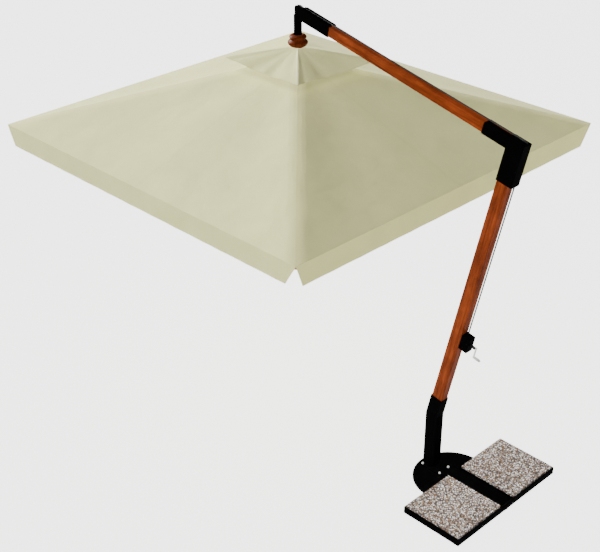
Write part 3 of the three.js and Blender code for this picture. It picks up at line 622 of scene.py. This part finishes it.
def makeRope(settings):
    path = spreadPoints(ropeRoute(settings), settings["spacing"])
    sides, radius = settings["sides"], settings["radius"]
    across = Vector((0, 1, 0))
    rings, maps, length = [], [], 0.0
    for i, point in enumerate(path):
        ahead = path[min(i + 1, len(path) - 1)] - path[max(i - 1, 0)]
        ahead.normalize()
        second = ahead.cross(across).normalized()
        first = second.cross(ahead)
        if i:
            length += (point - path[i - 1]).length
        for j in range(sides):
            angle = 2 * math.pi * j / sides
            rings.append(point + radius * (first * math.cos(angle) + second * math.sin(angle)))
        maps.append(length)
    faces = []
    for i in range(len(path) - 1):
        for j in range(sides):
            here, beside = i * sides + j, i * sides + (j + 1) % sides
            faces.append((here, beside, beside + sides, here + sides))
    faces.append(tuple(reversed(range(sides))))
    faces.append(tuple((len(path) - 1) * sides + j for j in range(sides)))
    mesh = bpy.data.meshes.new("hoistRope")
    mesh.from_pydata([tuple(p) for p in rings], [], faces)
    layer = mesh.uv_layers.new(name="ropeMap")
    for face in mesh.polygons:
        for loop in face.loop_indices:
            vertex = mesh.loops[loop].vertex_index
            around = (vertex % sides) / sides * settings["mapGirth"]
            layer.data[loop].uv = (around, maps[vertex // sides])
    piece = bpy.data.objects.new("hoistRope", mesh)
    bpy.context.scene.collection.objects.link(piece)
    deselectAll()
    piece.select_set(True)
    bpy.context.view_layer.objects.active = piece
    bpy.ops.object.mode_set(mode="EDIT")
    bpy.ops.mesh.select_all(action="SELECT")
    bpy.ops.mesh.normals_make_consistent(inside=False)
    bpy.ops.object.mode_set(mode="OBJECT")
    settle(piece, cordWeave)
    mesh.shade_smooth()
    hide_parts("rope")
    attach(piece, "mast")


makeRope(ropeSettings)
print("rope laid")


clothShape = {"rows": 84, "columns": 48, "thickness": 0.0015, "valance": 0.155, "valanceRows": 14,
              "slit": (0.098, 0.060), "softHip": 0.055, "underCap": 0.335, "keep": 0.14,
              "hemSeam": 0.012, "valanceSeam": 0.014, "flutter": 0.0022, "flutterRate": 13}
diagonal = 0.7071
hemHeight = 2.344
slope = (goreHigh[2] - hemHeight) / (halfSide - ventHalf)


def smoothStep(value):
    value = np.clip(value, 0, 1)
    return value * value * (3 - 2 * value)


def clothHeight(x, y):
    # the cloth's height over a plan point, on four slopes that hang a little between the ribs
    far = np.maximum(np.abs(x), np.abs(y))
    near = np.minimum(np.abs(x), np.abs(y))
    share = near / np.maximum(far, 1e-6)
    out = np.clip((far - ventHalf) / (halfSide - ventHalf), 0, 1)
    sag = clothSettings["sag"] * np.sin(np.pi * share) ** 2 * np.sin(np.pi * out) ** 0.8
    ripple = 0.0009 * np.sin(9 * share * 3.1 + 5 * out) * np.sin(np.pi * out) * np.sin(np.pi * share) ** 2
    return goreHigh[2] - slope * (far - ventHalf) - sag + ripple


def clothNormal(x, y):
    # the surface's normal, eased over the hips so that the light turns there softly
    step = 0.002
    soft = clothShape["softHip"]
    nx, ny = np.zeros_like(x), np.zeros_like(y)
    for shift in (-1.0, -0.5, 0.0, 0.5, 1.0):
        side = shift * soft
        px = x - side * np.sign(y) * diagonal
        py = y + side * np.sign(x) * diagonal
        nx += clothHeight(px + step, py) - clothHeight(px - step, py)
        ny += clothHeight(px, py + step) - clothHeight(px, py - step)
    normal = np.stack([-nx / (10 * step), -ny / (10 * step), np.ones_like(x)], axis=-1)
    return normal / np.linalg.norm(normal, axis=-1, keepdims=True)


def goreEdgePoints(corner, count):
    t = np.linspace(-1, 1, count + 1)
    if not corner:
        return np.stack([np.ones_like(t), t * 0.5], axis=-1)
    x = np.where(t <= 0, 1.0, 1 - t * 0.5)
    y = np.where(t <= 0, 1 + t * 0.5, 1.0)
    return np.stack([x, y], axis=-1)


def buildSheet(name, rows, normals, seams, maps, thickness, tape=None, shade=None):
    # a thin closed cloth from a grid of points, with an upper face, an under face and its edges
    count, across = rows.shape[:2]
    upper = rows.reshape(-1, 3)
    direction = normals.reshape(-1, 3)
    lower = upper - direction * thickness
    size = count * across
    i, j = np.meshgrid(np.arange(count - 1), np.arange(across - 1), indexing="ij")
    a = (i * across + j).ravel()
    quads = np.stack([a, a + across, a + across + 1, a + 1], axis=-1)
    under = quads[:, ::-1] + size
    border = []
    for k in range(across - 1):
        border.append((k, k + 1, k + 1 + size, k + size))
        last = (count - 1) * across + k
        border.append((last + 1, last, last + size, last + 1 + size))
    for k in range(count - 1):
        first, nextFirst = k * across, (k + 1) * across
        border.append((nextFirst, first, first + size, nextFirst + size))
        end, nextEnd = first + across - 1, nextFirst + across - 1
        border.append((end, nextEnd, nextEnd + size, end + size))
    faces = np.concatenate([quads, under, np.array(border)])
    mesh = bpy.data.meshes.new(name)
    mesh.from_pydata(np.concatenate([upper, lower]).tolist(), [], faces.tolist())
    mesh.shade_smooth()
    layer = mesh.uv_layers.new(name="clothMap")
    loops = np.empty(len(mesh.loops), dtype=np.int32)
    mesh.loops.foreach_get("vertex_index", loops)
    flat = np.concatenate([maps.reshape(-1, 2)] * 2)
    layer.data.foreach_set("uv", flat[loops].astype(np.float32).ravel())
    attribute = mesh.attributes.new("seamDistance", "FLOAT", "POINT")
    attribute.data.foreach_set("value", np.concatenate([seams.ravel()] * 2).astype(np.float32))
    for label, values in (("tapeMask", tape), ("paintedShadeMask", shade)):
        one = np.zeros(size) if values is None else np.broadcast_to(values, (count, across)).ravel()
        mask = mesh.attributes.new(label, "FLOAT", "POINT")
        mask.data.foreach_set("value", np.concatenate([one] * 2).astype(np.float32))
    custom = np.concatenate([direction, -direction])
    mesh.normals_split_custom_set_from_vertices(custom.tolist())
    piece = bpy.data.objects.new(name, mesh)
    bpy.context.scene.collection.objects.link(piece)
    mesh.materials.append(canopyCloth)
    return piece


def goreGrid(corner):
    shape = clothShape
    edge = goreEdgePoints(corner, shape["columns"])
    half = ventHalf + (halfSide - ventHalf) * np.linspace(0, 1, shape["rows"] + 1)
    x = half[:, None] * edge[None, :, 0]
    y = half[:, None] * edge[None, :, 1]
    z = clothHeight(x, y)
    normal = clothNormal(x, y)
    hip = np.abs(np.abs(x) - np.abs(y)) / math.sqrt(2)
    hem = np.maximum(halfSide - np.maximum(np.abs(x), np.abs(y)), 0)
    return x, y, z, normal, np.minimum(hip, np.abs(hem - shape["hemSeam"]))


def makeGore(k, settings):
    corner = k % 2 == 1
    turn = (k // 2) * math.pi / 2
    x, y, z, normal, seams = goreGrid(corner)
    if corner:
        maps = np.stack([x - y, x + y], axis=-1) * diagonal
    else:
        maps = np.stack([y, x], axis=-1)
    rows = np.stack([x, y, z], axis=-1)
    far = np.maximum(np.abs(x), np.abs(y))
    near = np.minimum(np.abs(x), np.abs(y))
    # painted shade: the cloth is darker under the vent cap's hem and in a faint band along each rib
    shade = smoothStep((settings["underCap"] - far) / 0.05) + 0.16 * np.exp(-(near / 0.011) ** 2)
    piece = buildSheet(f"canopyCloth{k + 1}", rows, normal, seams, maps, settings["thickness"], shade=shade)
    flaps = makeFlaps(k, corner, settings)
    deselectAll()
    for part in (piece, *flaps):
        part.select_set(True)
    bpy.context.view_layer.objects.active = piece
    bpy.ops.object.join()
    piece.data.transform(Matrix.Translation((axisX, 0, 0)) @ Matrix.Rotation(turn, 4, "Z"))
    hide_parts(f"canopy_gore_{k + 1}")
    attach(piece, f"rib_{k + 1}")
    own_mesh(piece)


def makeFlaps(k, corner, settings):
    # the valance hangs from the hem, and at a canopy corner its two ends part in a slit
    flaps = []
    half = halfSide / 2
    # where each stretch of valance starts and ends, how much of the slit cuts its ends, and its turn
    if corner:
        count = settings["columns"] // 2
        stretches = [(half, halfSide, 0.0, 1.0, 0.0), (-halfSide, -half, 1.0, 0.0, math.pi / 2)]
    else:
        count = settings["columns"]
        stretches = [(-half, half, 0.0, 0.0, 0.0)]
    t = np.linspace(0, 1, count + 1)
    drop = np.linspace(0, 1, settings["valanceRows"] + 1)
    for place, (y0, y1, cut0, cut1, turn) in enumerate(stretches):
        # a corner's slit leans further on its first flap than on its second
        slant = settings["slit"][place] * drop
        begin = y0 + slant * cut0
        end = y1 - slant * cut1
        y = begin[:, None] + (end - begin)[:, None] * t[None, :]
        flutter, rate = settings["flutter"], settings["flutterRate"]
        phase = y * rate + 0.7 * k + place
        growth = drop[:, None] ** 1.5
        wave = flutter * np.sin(phase) * growth
        lean = 0.004 * drop[:, None] ** 2
        x = halfSide - 0.0002 - lean - np.abs(wave)
        z = hemHeight - 0.0002 - settings["valance"] * drop[:, None] + 0 * y
        normal = np.zeros((*y.shape, 3))
        normal[..., 0] = 1
        normal[..., 1] = flutter * rate * np.cos(phase) * growth * np.sign(wave)
        normal /= np.linalg.norm(normal, axis=-1, keepdims=True)
        seams = np.abs(settings["valance"] * (1 - drop[:, None]) - settings["valanceSeam"]) + 0 * y
        rows = np.stack([x, y, z], axis=-1)
        maps = np.stack([y, z], axis=-1)
        flap = buildSheet(f"flap{k}{place}", rows, normal, seams, maps, settings["thickness"])
        flap.data.transform(Matrix.Rotation(turn, 4, "Z"))
        flaps.append(flap)
    return flaps


for gore in range(8):
    makeGore(gore, clothShape)
print("canopy cloth hung")


capSettings = {"top": 2.9235, "collar": 0.0262, "rows": 46, "columns": 60, "thickness": 0.0015, "keep": 0.25,
               # half width and hem height over each corner, in turn from +X +Y
               "corners": [(0.395, 2.826), (0.365, 2.812), (0.370, 2.853), (0.345, 2.824)],
               "droop": 0.016, "tape": 0.006, "hemRun": 0.4, "hemSeam": 0.010,
               "shadePlace": 0.018, "shadeWidth": 0.012}


def capSurface(theta, share, settings):
    # a loose little roof, whose hem swings between the corners, with folds that run up from it
    share = np.maximum(share, 0)
    turn = np.mod(theta / (math.pi / 2) - 0.5, 4)
    index = np.floor(turn).astype(int) % 4
    part = smoothStep(turn - np.floor(turn))
    halves = np.array([c[0] for c in settings["corners"]])
    hems = np.array([c[1] for c in settings["corners"]])
    half = halves[index] * (1 - part) + halves[(index + 1) % 4] * part
    hem = hems[index] * (1 - part) + hems[(index + 1) % 4] * part
    side = turn - np.floor(turn)
    hem = hem - settings["droop"] * np.sin(np.pi * side) ** 2 * (1 + 0.22 * np.cos(6 * np.pi * side))
    reach = np.maximum(np.abs(np.cos(theta)), np.abs(np.sin(theta)))
    square = half / reach - 0.010 * np.sin(np.pi * side) ** 2
    radius = settings["collar"] + (square - settings["collar"]) * share
    height = settings["top"] + (hem - settings["top"]) * share ** 1.08
    fold = 0.0022 * np.sin(5 * theta + 0.9 + 0.8 * np.sin(2 * theta))
    fold = fold + 0.0012 * np.sin(7 * theta - 7 * share)
    height = height + fold * share ** 1.6 * np.sin(np.pi * np.clip(side, 0.02, 0.98)) ** 0.5
    pleat = np.exp(-((np.mod(side + 0.5, 1) - 0.5) / 0.055) ** 2)
    height = height + 0.005 * pleat * np.sin(np.pi * np.clip(share, 0, 1)) ** 0.7
    height = height - 0.003 * np.exp(-((np.mod(side + 0.5, 1) - 0.57) / 0.03) ** 2) * share ** 2
    return radius * np.cos(theta), radius * np.sin(theta), height


def makeCapQuarter(quarter, settings):
    theta = np.linspace(0, math.pi / 2, settings["columns"] + 1) + quarter * math.pi / 2
    share = np.linspace(0, 1, settings["rows"] + 1)
    grid = np.broadcast_to(theta[None, :], (len(share), len(theta)))
    shares = np.broadcast_to(share[:, None], grid.shape)
    x, y, z = capSurface(grid, shares, settings)
    rows = np.stack([x, y, z], axis=-1)
    step = 0.001
    along = np.stack(capSurface(grid + step, shares, settings), axis=-1)
    along -= np.stack(capSurface(grid - step, shares, settings), axis=-1)
    out = np.stack(capSurface(grid, shares + step, settings), axis=-1)
    out -= np.stack(capSurface(grid, shares - step, settings), axis=-1)
    normal = np.cross(out, along)
    normal /= np.linalg.norm(normal, axis=-1, keepdims=True)
    hip = np.abs(np.abs(x) - np.abs(y)) / math.sqrt(2)
    hem = (1 - shares) * settings["hemRun"]
    seams = np.minimum(hip, np.abs(hem - settings["hemSeam"]))
    tape = (1 - smoothStep((hip - settings["tape"]) / 0.006)) * (0.35 + 0.65 * shares)
    # painted shade in a band beside each hip's pleat, growing toward the hem
    beside = (np.abs(x) - np.abs(y) - settings["shadePlace"]) / settings["shadeWidth"]
    shade = np.exp(-beside ** 2) * smoothStep((shares - 0.45) / 0.5)
    maps = np.stack([x, y], axis=-1)
    piece = buildSheet(f"ventCapCloth{quarter + 1}", rows, normal, seams, maps, settings["thickness"],
                       tape, shade)
    piece.data.transform(Matrix.Translation((axisX, 0, 0)))
    rib = quarter * 2 + 2
    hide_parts(f"vent_cap_{quarter + 1}")
    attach(piece, f"rib_{rib}")
    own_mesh(piece)


for quarter in range(4):
    makeCapQuarter(quarter, capSettings)
print("vent cap set")


lightSettings = {"sky": 0.15, "key": 12.0, "keyDirection": (-0.894, -0.105, 0.425),
                 "front": 1.9, "frontDirection": (0.66, -0.74, 0.14), "floorGlow": 2.2}


def addSun(name, direction, strength, width, shadows):
    data = bpy.data.lights.new(name, "SUN")
    data.energy = strength
    data.angle = math.radians(width)
    data.use_shadow = shadows
    lamp = bpy.data.objects.new(name, data)
    bpy.context.scene.collection.objects.link(lamp)
    lamp.rotation_euler = Vector(direction).to_track_quat("Z", "Y").to_euler()


def setStage(settings):
    world = bpy.data.worlds.new("studio")
    bpy.context.scene.world = world
    world.use_nodes = True
    back = world.node_tree.nodes["Background"]
    back.inputs[0].default_value = (1, 1, 1, 1)
    # the camera sees a bright sky, but the sky lights the parasol only softly
    look = world.node_tree.nodes.new("ShaderNodeLightPath")
    seen = mathNode(world.node_tree, "MULTIPLY", look.outputs["Is Camera Ray"], settings["floorGlow"])
    strength = mathNode(world.node_tree, "ADD", seen, settings["sky"])
    world.node_tree.links.new(strength, back.inputs[1])
    addSun("keyLight", settings["keyDirection"], settings["key"], 30, False)
    addSun("frontLight", settings["frontDirection"], settings["front"], 40, False)
    deselectAll()
    bpy.ops.mesh.primitive_plane_add(size=60, location=(0, 0, -0.0008))
    floor = bpy.context.object
    floor.name = "paleFloor"
    material, tree, shader = startMaterial("paleFloor")
    shader.inputs["Base Color"].default_value = (0.8, 0.8, 0.8, 1)
    shader.inputs["Roughness"].default_value = 0.9
    # the floor's glow is for the camera alone, so that it doesn't light the parasol from below
    path = tree.nodes.new("ShaderNodeLightPath")
    shader.inputs["Emission Color"].default_value = (1, 1, 1, 1)
    glow = mathNode(tree, "MULTIPLY", path.outputs["Is Camera Ray"], settings["floorGlow"])
    tree.links.new(glow, shader.inputs["Emission Strength"])
    # from below the floor is clear, so that the parasol's underside can be seen
    side = tree.nodes.new("ShaderNodeNewGeometry")
    tree.links.new(mathNode(tree, "SUBTRACT", 1.0, side.outputs["Backfacing"]), shader.inputs["Alpha"])
    floor.data.materials.append(material)


setStage(lightSettings)
print("stage set")
